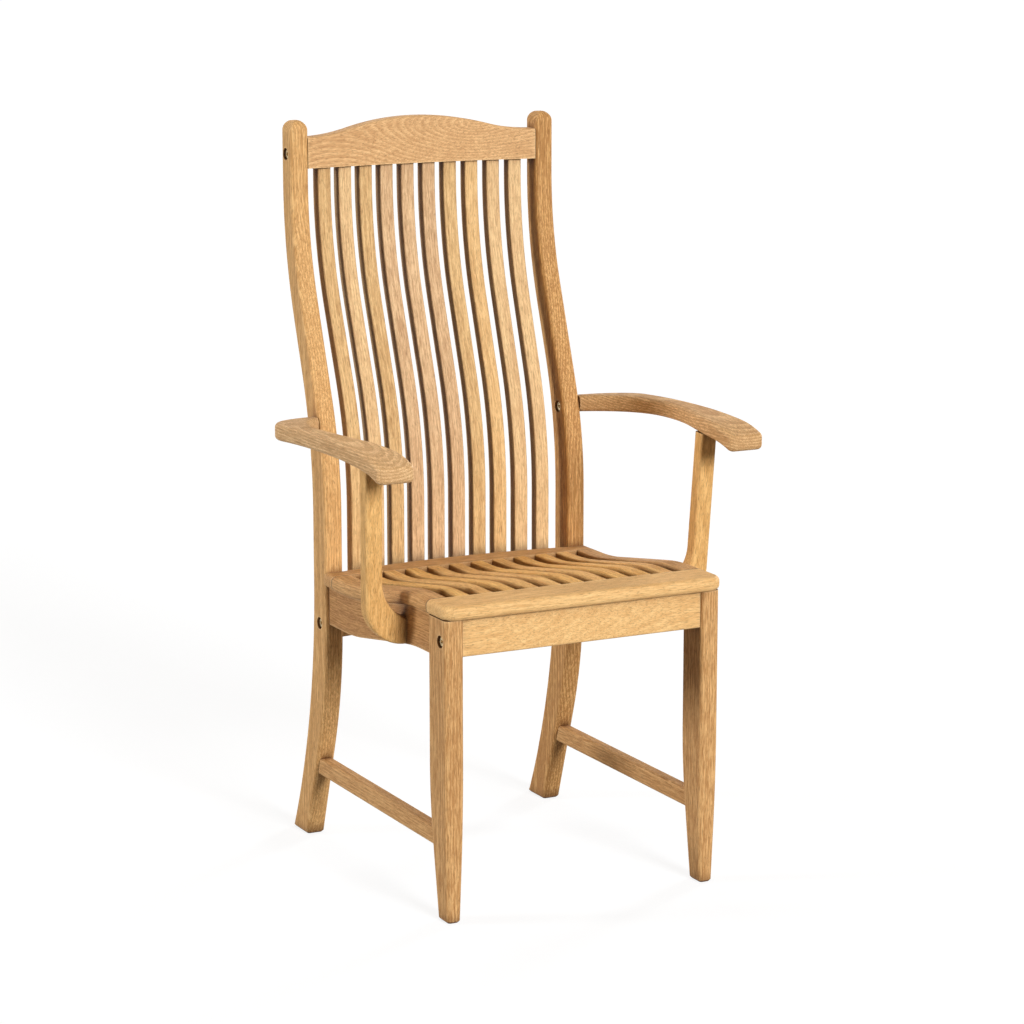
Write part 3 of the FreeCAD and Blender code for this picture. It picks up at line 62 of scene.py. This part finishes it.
# Noise: waves per metre along x, y and z, then detail and roughness.
SWAY_NOISE = ((11, 11, 2.4), 2, 0.5)
FIBRE_NOISE = ((620, 620, 34), 4, 0.65)
MOTTLE_NOISE = ((170, 170, 45), 2, 0.5)
BAND_NOISE = ((90, 90, 1.3), 2, 0.5)
CLOUD_NOISE = ((14, 14, 5), 2, 0.5)
PORE_NOISE = ((1300, 1300, 60), 1, 0.5)
FLECK_NOISE = ((720, 720, 170), 2, 0.5)
GLINT_NOISE = ((430, 430, 95), 2, 0.5)
STAIN_NOISE = ((420, 420, 420), 3, 0.6)
NOISE_MIDDLE = 0.5

# Where a mask begins and where it is full. Those of seams are metres from the end of a piece.
RING_RISE = (0.1, 0.86)
RING_FALL = (0.9, 1.0)
LATE_WOOD_MASK = (-0.25, 1.2)
PORE_MASK = (0.57, 0.7)
FLECK_MASK = (0.55, 0.7)
GLINT_MASK = (0.56, 0.72)
END_GRAIN_MASK = (0.72, 0.97)
SEAM_MASK = (0.001, 0.0036)
# Painted shade: where the wood is closed in by other wood.
PAINTED_SHADE_MASK = (0.28, 0.96)
# Pale arrises on the piece's own edges, part wear and part painted highlight.
WEAR_AND_HIGHLIGHT_MASK = (0.35, 0.9)
STAIN_MASK = (0.42, 0.68)

# How much each noise counts towards late wood, and how far each mark covers the wood.
MOTTLE_SHARE = 0.9
BAND_SHARE = 0.95
CLOUD_SHARE = 0.5
EARLY_WOOD_LEAD = 0.75
GLINT_SHARE = 0.55
# Pale arrises: how far the pale tone covers them, part wear and part painted highlight.
WEAR_AND_HIGHLIGHT_SHARE = 0.5
PORE_SHARE = 0.44
FLECK_SHARE = 0.28
END_GRAIN_SHARE = 0.03
SEAM_SHARE = 0.75
# Painted shade: how far the dark tone covers wood that is closed in by other wood.
PAINTED_SHADE_SHARE = 0.88
PLAIN_FIGURE = 0.3
PLAIN_FIBRE = 3.2
LEG_FIBRE = 5.2
ARM_FIBRE = 4.0

# Surface of the wood and of the steel.
WOOD_ROUGHNESS = 0.56
FIBRE_ROUGHNESS = 0.18
PORE_ROUGHNESS = 0.12
WORN_ROUGHNESS = -0.1
PORE_HEIGHT = -0.8
RELIEF_STRENGTH = 0.3
WOOD_SHINE = 0.25
STEEL_ROUGHNESS = 0.3
STAIN_ROUGHNESS = 0.25
NEARNESS_SAMPLES = 6

# Lengths in metres.
RING_GAP = 0.0042
WIDE_RING_GAP = 0.006
DOWEL_RING_GAP = 0.002
RING_SWAY = 0.016
RELIEF_DEPTH = 0.0004
# How far from other wood the painted shade reaches.
PAINTED_SHADE_REACH = 0.026
# Width of the pale arrises, part wear and part painted highlight.
WEAR_AND_HIGHLIGHT_REACH = 0.005

# Where pieces bend or their rings slope, in metres: axis along, axis that shifts, start, end, shift.
BACK_SLAT_BEND = (2, 1, 0.511, 0.991, 0.101)
SEAT_BEND = (1, 2, -0.19, 0.07, -0.032)
CREST_SLOPE = (0, 1, -0.19, 0.19, 0.08)
APRON_SLOPE = (0, 1, -0.19, 0.19, -0.06)
# Front and rear end of the pieces that show a dark seam there, in metres.
SEAT_RAIL_ENDS = (-0.2215, 0.1015)
APRON_ENDS = (-0.2185, 0.1285)

# Heart of the tree from the middle of a left and a right piece, in metres, with the grain along z.
BACK_LEG_HEARTS = ((0.10, 0.02, 0.0), (0.10, -0.03, 1.6))
FRONT_LEG_HEARTS = ((0.08, -0.03, 3.0), (0.08, 0.02, 4.0))
ARM_HEARTS = ((0.02, 0.07, 6.0), (-0.03, 0.07, 7.0))
DOWEL_HEART = (0.02, 0.03, 0.5)
# Heart of a numbered board: how far it swings to the side and in depth, and its step along the grain.
HEART_SIDE = 0.05
HEART_DEPTH = 0.09
HEART_DEPTH_SWING = 0.04
HEART_STEP = 0.37
SIDE_TURN = 2.4
DEPTH_TURN = 1.7
# Number of the first board of a kind of piece.
SIDE_RAIL_BOARD = 5
SIDE_APRON_BOARD = 8
STRETCHER_BOARD = 11
SUPPORT_BOARD = 14
SEAT_SLAT_BOARD = 20

BACK_LEG_TONES = ("amber", "toffee")
ARM_TONES = ("dusk", "clay")
BACK_SLAT_TONES = ("biscuit", "cream", "biscuit", "rose", "rose",
                   "rose", "biscuit", "flax", "cream", "cream")
SEAT_SLAT_TONES = ("gold", "apricot", "gold", "apricot", "apricot",
                   "gold", "apricot", "gold", "gold", "apricot")
STEEL_PIECES = ("crest_bolts", "lower_rail_bolts", "front_apron_bolts", "arm_bolts",
                "barrel_nuts", "arm_inserts", "support_screws", "seat_screws")

# Lamps: name, strength, width, azimuth and elevation in degrees. Azimuth 0 is straight ahead of the
# chair and 90 on the side of its right arm.
LAMPS = (
    ("key lamp", 2.95, 18, 5, 20),
    ("left lamp", 1.75, 14, -113, 14),
    ("right lamp", 1.75, 14, 118, 14),
    ("back lamp", 0.4, 30, 180, 30),
)
FILL_COLOUR = (1.0, 0.74, 0.42, 1.0)
FILL_STRENGTH = 0.16
FLOOR_SIZE = 120.0
FLOOR_HEIGHT = -0.0004
FLOOR_COLOUR = (0.24, 0.252, 0.269, 1.0)
FLOOR_GLOW = 0.83
CAMERA_PLACE = (-2.058, -4.0525, 1.438)
CAMERA_AZIMUTH = math.radians(-27.21)
CAMERA_PITCH = math.radians(11.43)
CAMERA_LENS = 111.15
SENSOR_WIDTH = 36.0


def linear_share(share):
    """A display share as light, by the usual display curve."""
    return share / 12.92 if share <= 0.04045 else ((share + 0.055) / 1.055) ** 2.4


def display_colour(tone):
    """A colour as the shader wants it, from its display values."""
    return (*(linear_share(value / 255) for value in tone), 1.0)


def add(tree, kind, **settings):
    """A new node with its settings."""
    node = tree.nodes.new(kind)
    for name, value in settings.items():
        setattr(node, name, value)
    return node


def scaled(tree, vector, scale):
    """The vector, stretched by a factor along each axis."""
    node = add(tree, "ShaderNodeVectorMath", operation="MULTIPLY")
    tree.links.new(vector, node.inputs[0])
    node.inputs[1].default_value = scale
    return node.outputs["Vector"]


def noise(tree, vector, kind):
    """Cloudy noise of one of the kinds above, over a vector in metres."""
    waves, detail, roughness = kind
    node = add(tree, "ShaderNodeTexNoise")
    tree.links.new(scaled(tree, vector, waves), node.inputs["Vector"])
    node.inputs["Scale"].default_value = 1.0
    node.inputs["Detail"].default_value = detail
    node.inputs["Roughness"].default_value = roughness
    return node


def calculated(tree, operation, *things):
    """The result of a calculation; plain numbers go straight into the sockets."""
    node = add(tree, "ShaderNodeMath", operation=operation)
    for socket, thing in zip(node.inputs, things):
        if isinstance(thing, (int, float)):
            socket.default_value = thing
        else:
            tree.links.new(thing, socket)
    return node.outputs[0]


def spread(tree, value, low, high):
    """0 below low, 1 above high, smooth between them."""
    node = add(tree, "ShaderNodeMapRange", interpolation_type="SMOOTHSTEP")
    tree.links.new(value, node.inputs["Value"])
    node.inputs["From Min"].default_value = low
    node.inputs["From Max"].default_value = high
    return node.outputs["Result"]


def blended(tree, share, first, second):
    """The first colour, going over into the second."""
    node = add(tree, "ShaderNodeMix", data_type="RGBA")
    tree.links.new(share, node.inputs["Factor"])
    colours = [item for item in node.inputs if item.type == "RGBA"]
    for socket, thing in zip(colours, (first, second)):
        if isinstance(thing, tuple):
            socket.default_value = thing
        else:
            tree.links.new(thing, socket)
    return [item for item in node.outputs if item.type == "RGBA"][0]


def ring_mask(group, board, ring_gap):
    """Year rings around the heart of the tree, which lies along z: 1 in late wood."""
    sway = noise(group, board, SWAY_NOISE)
    wandering = add(group, "ShaderNodeVectorMath", operation="MULTIPLY_ADD")
    group.links.new(sway.outputs["Color"], wandering.inputs[0])
    wandering.inputs[1].default_value = (RING_SWAY, RING_SWAY, 0.0)
    group.links.new(board, wandering.inputs[2])
    radius = add(group, "ShaderNodeVectorMath", operation="LENGTH")
    flat = scaled(group, wandering.outputs["Vector"], (1, 1, 0))
    group.links.new(flat, radius.inputs[0])
    rings = calculated(group, "DIVIDE", radius.outputs["Value"], ring_gap)
    phase = calculated(group, "FRACT", rings)
    rise = spread(group, phase, *RING_RISE)
    fall = spread(group, phase, *RING_FALL)
    return calculated(group, "SUBTRACT", rise, fall)


def make_timber_group():
    """Rings, fibres and pores of a plain sawn hardwood board, with its grain along z, and its marks: dark
    seams, painted shade where other wood stands close, and pale arrises that are part wear and part
    painted highlight.
    """
    group = bpy.data.node_groups.new("sawn timber", "ShaderNodeTree")
    group.interface.new_socket("Board", in_out="INPUT", socket_type="NodeSocketVector")
    # Two of these inputs carry the painted shade near other wood and the pale arrises, which are part wear
    # and part painted highlight.
    for name in ("End Grain", "Seam", "Painted Shade", "Wear And Highlight", "Ring Gap", "Figure", "Fibre"):
        group.interface.new_socket(name, in_out="INPUT", socket_type="NodeSocketFloat")
    for name in ("Early Wood", "Late Wood"):
        group.interface.new_socket(name, in_out="INPUT", socket_type="NodeSocketColor")
    group.interface.new_socket("Colour", in_out="OUTPUT", socket_type="NodeSocketColor")
    for name in ("Roughness", "Height"):
        group.interface.new_socket(name, in_out="OUTPUT", socket_type="NodeSocketFloat")
    given = add(group, "NodeGroupInput").outputs
    board = given["Board"]

    ring = ring_mask(group, board, given["Ring Gap"])
    fibre = noise(group, board, FIBRE_NOISE).outputs["Fac"]
    mottle = noise(group, board, MOTTLE_NOISE).outputs["Fac"]
    band = noise(group, board, BAND_NOISE).outputs["Fac"]
    cloud = noise(group, board, CLOUD_NOISE).outputs["Fac"]
    pore = spread(group, noise(group, board, PORE_NOISE).outputs["Fac"], *PORE_MASK)
    fleck = spread(group, noise(group, board, FLECK_NOISE).outputs["Fac"], *FLECK_MASK)
    glint = spread(group, noise(group, board, GLINT_NOISE).outputs["Fac"], *GLINT_MASK)

    streak = calculated(group, "SUBTRACT", fibre, NOISE_MIDDLE)
    share = calculated(group, "MULTIPLY", streak, given["Fibre"])
    share = calculated(group, "MULTIPLY_ADD", mottle, MOTTLE_SHARE, share)
    share = calculated(group, "SUBTRACT", share, EARLY_WOOD_LEAD)
    share = calculated(group, "MULTIPLY_ADD", band, BAND_SHARE, share)
    share = calculated(group, "MULTIPLY_ADD", cloud, CLOUD_SHARE, share)
    figured = calculated(group, "MULTIPLY", ring, given["Figure"])
    share = calculated(group, "ADD", share, figured)
    share = spread(group, share, *LATE_WOOD_MASK)
    wood = blended(group, share, given["Early Wood"], given["Late Wood"])
    bright = calculated(group, "MULTIPLY", glint, GLINT_SHARE)
    wood = blended(group, bright, wood, given["Early Wood"])
    marks = (
        # Pale arrises, partly wear and partly a painted highlight.
        (given["Wear And Highlight"], WEAR_AND_HIGHLIGHT_SHARE, WEAR_AND_HIGHLIGHT_TONE),
        (pore, PORE_SHARE, PORE_TONE),
        (fleck, FLECK_SHARE, PORE_TONE),
        (given["End Grain"], END_GRAIN_SHARE, PORE_TONE),
        (given["Seam"], SEAM_SHARE, SEAM_AND_SHADE_TONE),
        # Painted shade: wood closed in by other wood goes towards the dark tone.
        (given["Painted Shade"], PAINTED_SHADE_SHARE, SEAM_AND_SHADE_TONE),
    )
    for mark, cover, tone in marks:
        covered = calculated(group, "MULTIPLY", mark, cover)
        wood = blended(group, covered, wood, display_colour(tone))

    rough = calculated(group, "MULTIPLY_ADD", fibre, FIBRE_ROUGHNESS, WOOD_ROUGHNESS)
    rough = calculated(group, "MULTIPLY_ADD", pore, PORE_ROUGHNESS, rough)
    rough = calculated(group, "MULTIPLY_ADD", given["Wear And Highlight"], WORN_ROUGHNESS, rough)
    height = calculated(group, "MULTIPLY_ADD", pore, PORE_HEIGHT, fibre)

    results = add(group, "NodeGroupOutput").inputs
    group.links.new(wood, results["Colour"])
    group.links.new(rough, results["Roughness"])
    group.links.new(height, results["Height"])
    return group


timber_group = make_timber_group()


def board_mapping(tree, node, grain, heart):
    """Coordinates of a board: grain along z, heart of the tree at a place from the piece's middle."""
    low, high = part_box(node)
    turn = Vector(GRAIN_TURNS[grain])
    middle = (low + high) / 2
    middle.rotate(Euler(turn))
    mapping = add(tree, "ShaderNodeMapping")
    mapping.inputs["Rotation"].default_value = turn
    mapping.inputs["Location"].default_value = Vector(heart) - middle
    return mapping


def unbent(tree, place, bend):
    """Coordinates with a shift taken out, so that the grain follows a bend or the rings slope."""
    along, across, start, end, shift = bend
    axes = add(tree, "ShaderNodeSeparateXYZ")
    tree.links.new(place, axes.inputs[0])
    bow = calculated(tree, "MULTIPLY", spread(tree, axes.outputs[along], start, end), shift)
    whole = add(tree, "ShaderNodeCombineXYZ")
    for axis, value in enumerate(axes.outputs):
        if axis == across:
            value = calculated(tree, "SUBTRACT", value, bow)
        tree.links.new(value, whole.inputs[axis])
    return whole.outputs[0]


def seam_mask(tree, place, ends):
    """1 along the dark lines where both ends of a piece meet its neighbours."""
    front, rear = (calculated(tree, "ABSOLUTE", calculated(tree, "SUBTRACT", place, end)) for end in ends)
    near = calculated(tree, "MINIMUM", front, rear)
    return calculated(tree, "SUBTRACT", 1.0, spread(tree, near, *SEAM_MASK))


def closed_in(tree, reach, mask, inside=False):
    """1 where other wood stands close by or, with inside set, on the arrises of the piece itself. These
    masks carry the painted shade near other wood, and the pale arrises that are part wear and part painted
    highlight.
    """
    around = add(tree, "ShaderNodeAmbientOcclusion", samples=NEARNESS_SAMPLES,
                 inside=inside, only_local=inside)
    around.inputs["Distance"].default_value = reach
    return calculated(tree, "SUBTRACT", 1.0, spread(tree, around.outputs["AO"], *mask))


def new_material(name):
    """A material with its nodes, and its shader."""
    material = bpy.data.materials.new(name)
    material.use_nodes = True
    return material, material.node_tree, material.node_tree.nodes["Principled BSDF"]


def dress(node, material):
    """Put one material on all of a piece."""
    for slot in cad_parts[node].material_slots:
        slot.material = material


def timber(node, tone, grain, heart, figure=PLAIN_FIGURE, ring_gap=RING_GAP, fibre=PLAIN_FIBRE,
           bend=None, ends=None):
    """Give a piece its own board."""
    material, tree, shader = new_material(f"{node} {tone} timber")
    places = add(tree, "ShaderNodeTexCoord")
    mapping = board_mapping(tree, node, grain, heart)
    straight = unbent(tree, places.outputs["Object"], bend) if bend else places.outputs["Object"]
    tree.links.new(straight, mapping.inputs["Vector"])

    axes = add(tree, "ShaderNodeSeparateXYZ")
    tree.links.new(places.outputs["Normal"], axes.inputs[0])
    facing = calculated(tree, "ABSOLUTE", axes.outputs[GRAIN_AXES[grain]])
    end_grain = spread(tree, facing, *END_GRAIN_MASK)

    wood = add(tree, "ShaderNodeGroup", node_tree=timber_group)
    early, late = TONES[tone]
    wood.inputs["Early Wood"].default_value = display_colour(early)
    wood.inputs["Late Wood"].default_value = display_colour(late)
    wood.inputs["Ring Gap"].default_value = ring_gap
    wood.inputs["Figure"].default_value = figure
    wood.inputs["Fibre"].default_value = fibre
    # Painted shade where other wood stands close.
    painted_shade = closed_in(tree, PAINTED_SHADE_REACH, PAINTED_SHADE_MASK)
    # Pale arrises, part wear and part painted highlight.
    wear_and_highlight = closed_in(tree, WEAR_AND_HIGHLIGHT_REACH, WEAR_AND_HIGHLIGHT_MASK, inside=True)
    tree.links.new(painted_shade, wood.inputs["Painted Shade"])
    tree.links.new(wear_and_highlight, wood.inputs["Wear And Highlight"])
    tree.links.new(mapping.outputs["Vector"], wood.inputs["Board"])
    tree.links.new(end_grain, wood.inputs["End Grain"])
    if ends:
        spots = add(tree, "ShaderNodeSeparateXYZ")
        tree.links.new(places.outputs["Object"], spots.inputs[0])
        seam = seam_mask(tree, spots.outputs[GRAIN_AXES[grain]], ends)
        tree.links.new(seam, wood.inputs["Seam"])

    relief = add(tree, "ShaderNodeBump")
    relief.inputs["Strength"].default_value = RELIEF_STRENGTH
    relief.inputs["Distance"].default_value = RELIEF_DEPTH
    tree.links.new(wood.outputs["Height"], relief.inputs["Height"])
    tree.links.new(wood.outputs["Colour"], shader.inputs["Base Color"])
    tree.links.new(wood.outputs["Roughness"], shader.inputs["Roughness"])
    tree.links.new(relief.outputs["Normal"], shader.inputs["Normal"])
    shader.inputs["Specular IOR Level"].default_value = WOOD_SHINE
    dress(node, material)


def make_steel():
    """Steel of the bolts and screws, dulled by weather."""
    material, tree, shader = new_material("weathered steel")
    places = add(tree, "ShaderNodeTexCoord")
    stain = noise(tree, places.outputs["Object"], STAIN_NOISE).outputs["Fac"]
    dull = spread(tree, stain, *STAIN_MASK)
    colour = blended(tree, dull, display_colour(STEEL_TONE), display_colour(STEEL_STAIN))
    rough = calculated(tree, "MULTIPLY_ADD", dull, STAIN_ROUGHNESS, STEEL_ROUGHNESS)
    tree.links.new(colour, shader.inputs["Base Color"])
    tree.links.new(rough, shader.inputs["Roughness"])
    shader.inputs["Metallic"].default_value = 1.0
    return material


def heart_of(board):
    """Heart of the tree of a numbered board, in metres, so that no two boards look the same."""
    side = HEART_SIDE * math.sin(board * SIDE_TURN)
    depth = HEART_DEPTH + HEART_DEPTH_SWING * math.cos(board * DEPTH_TURN)
    return side, depth, HEART_STEP * board


for number, side in enumerate(("left", "right")):
    timber(f"back_leg_{side}", BACK_LEG_TONES[number], "up", BACK_LEG_HEARTS[number],
           figure=0.75, fibre=LEG_FIBRE)
    timber(f"front_leg_{side}", "honey", "up", FRONT_LEG_HEARTS[number],
           figure=0.45, fibre=LEG_FIBRE)
    timber(f"seat_side_rail_{side}", "honey", "back", heart_of(number + SIDE_RAIL_BOARD),
           bend=SEAT_BEND, ends=SEAT_RAIL_ENDS)
    timber(f"side_apron_{side}", "nut", "back", heart_of(number + SIDE_APRON_BOARD),
           bend=SEAT_BEND, ends=APRON_ENDS)
    timber(f"side_stretcher_{side}", "honey", "back", heart_of(number + STRETCHER_BOARD), figure=0.35)
    timber(f"arm_{side}", ARM_TONES[number], "back", ARM_HEARTS[number],
           figure=0.75, fibre=ARM_FIBRE)
    timber(f"arm_support_{side}", "corn", "up", heart_of(number + SUPPORT_BOARD))
timber("crest_rail", "wheat", "across", (0.015, 0.07, 2.0), figure=0.6, bend=CREST_SLOPE)
timber("lower_back_rail", "honey", "across", (0.02, 0.07, 4.0))
timber("seat_front_rail", "straw", "across", (0.05, 0.09, 5.0))
timber("seat_rear_rail", "honey", "across", (0.05, 0.04, 6.0))
timber("front_apron", "straw", "across", (0.03, 0.06, 7.0),
       figure=0.35, ring_gap=WIDE_RING_GAP, bend=APRON_SLOPE)
for number, tone in enumerate(BACK_SLAT_TONES, start=1):
    timber(f"back_slat_{number:02d}", tone, "up", heart_of(number), bend=BACK_SLAT_BEND)
for number, tone in enumerate(SEAT_SLAT_TONES, start=1):
    timber(f"seat_slat_{number:02d}", tone, "back", heart_of(number + SEAT_SLAT_BOARD),
           bend=SEAT_BEND)
timber("rail_dowels", "straw", "across", DOWEL_HEART, figure=0.2, ring_gap=DOWEL_RING_GAP)
timber("arm_dowels", "straw", "up", DOWEL_HEART, figure=0.2, ring_gap=DOWEL_RING_GAP)
steel = make_steel()
for node in STEEL_PIECES:
    dress(node, steel)


def seen_directly(tree):
    """1 for what the camera sees, straight on or by way of a shiny piece, and 0 for light on the chair."""
    path = add(tree, "ShaderNodeLightPath")
    seen = calculated(tree, "MAXIMUM", path.outputs["Is Camera Ray"], path.outputs["Is Glossy Ray"])
    return calculated(tree, "MAXIMUM", seen, path.outputs["Is Transmission Ray"])


def make_floor():
    """A pale floor that looks white to the camera and keeps the chair's shadow."""
    bpy.ops.object.select_all(action="DESELECT")
    bpy.ops.mesh.primitive_plane_add(size=FLOOR_SIZE, location=(0, 0, FLOOR_HEIGHT))
    floor = bpy.context.object
    floor.name = "studio_floor"
    material, tree, shader = new_material("studio floor")
    tree.nodes.remove(shader)
    matt = add(tree, "ShaderNodeBsdfDiffuse")
    matt.inputs["Color"].default_value = FLOOR_COLOUR
    glow = add(tree, "ShaderNodeEmission")
    glow.inputs["Color"].default_value = WHITE
    strength = calculated(tree, "MULTIPLY", seen_directly(tree), FLOOR_GLOW)
    tree.links.new(strength, glow.inputs["Strength"])
    both = add(tree, "ShaderNodeAddShader")
    tree.links.new(matt.outputs[0], both.inputs[0])
    tree.links.new(glow.outputs[0], both.inputs[1])
    tree.links.new(both.outputs[0], tree.nodes["Material Output"].inputs["Surface"])
    floor.data.materials.append(material)


def make_world():
    """White to the camera, an even soft light on the chair."""
    world = bpy.data.worlds.new("studio")
    bpy.context.scene.world = world
    world.use_nodes = True
    tree = world.node_tree
    sky = tree.nodes["Background"]
    seen = seen_directly(tree)
    colour = blended(tree, seen, FILL_COLOUR, WHITE)
    strength = calculated(tree, "MULTIPLY_ADD", seen, 1 - FILL_STRENGTH, FILL_STRENGTH)
    tree.links.new(colour, sky.inputs["Color"])
    tree.links.new(strength, sky.inputs["Strength"])


def make_lamp(name, strength, width, azimuth, elevation):
    """A wide soft lamp, far away, aimed at the chair."""
    lamp = bpy.data.lights.new(name, "SUN")
    lamp.energy = strength
    lamp.angle = math.radians(width)
    stand = bpy.data.objects.new(name, lamp)
    stand.rotation_euler = (math.radians(90 - elevation), 0.0, math.radians(azimuth))
    bpy.context.scene.collection.objects.link(stand)


def make_camera():
    """The camera of the photograph."""
    lens = bpy.data.cameras.new("photo camera")
    lens.lens = CAMERA_LENS
    lens.sensor_width = SENSOR_WIDTH
    camera = bpy.data.objects.new("photo camera", lens)
    camera.location = CAMERA_PLACE
    camera.rotation_euler = (math.radians(90) - CAMERA_PITCH, 0.0, CAMERA_AZIMUTH)
    bpy.context.scene.collection.objects.link(camera)
    bpy.context.scene.camera = camera


make_floor()
make_world()
for lamp_sizes in LAMPS:
    make_lamp(*lamp_sizes)
make_camera()
bpy.context.scene.view_settings.view_transform = "Standard"
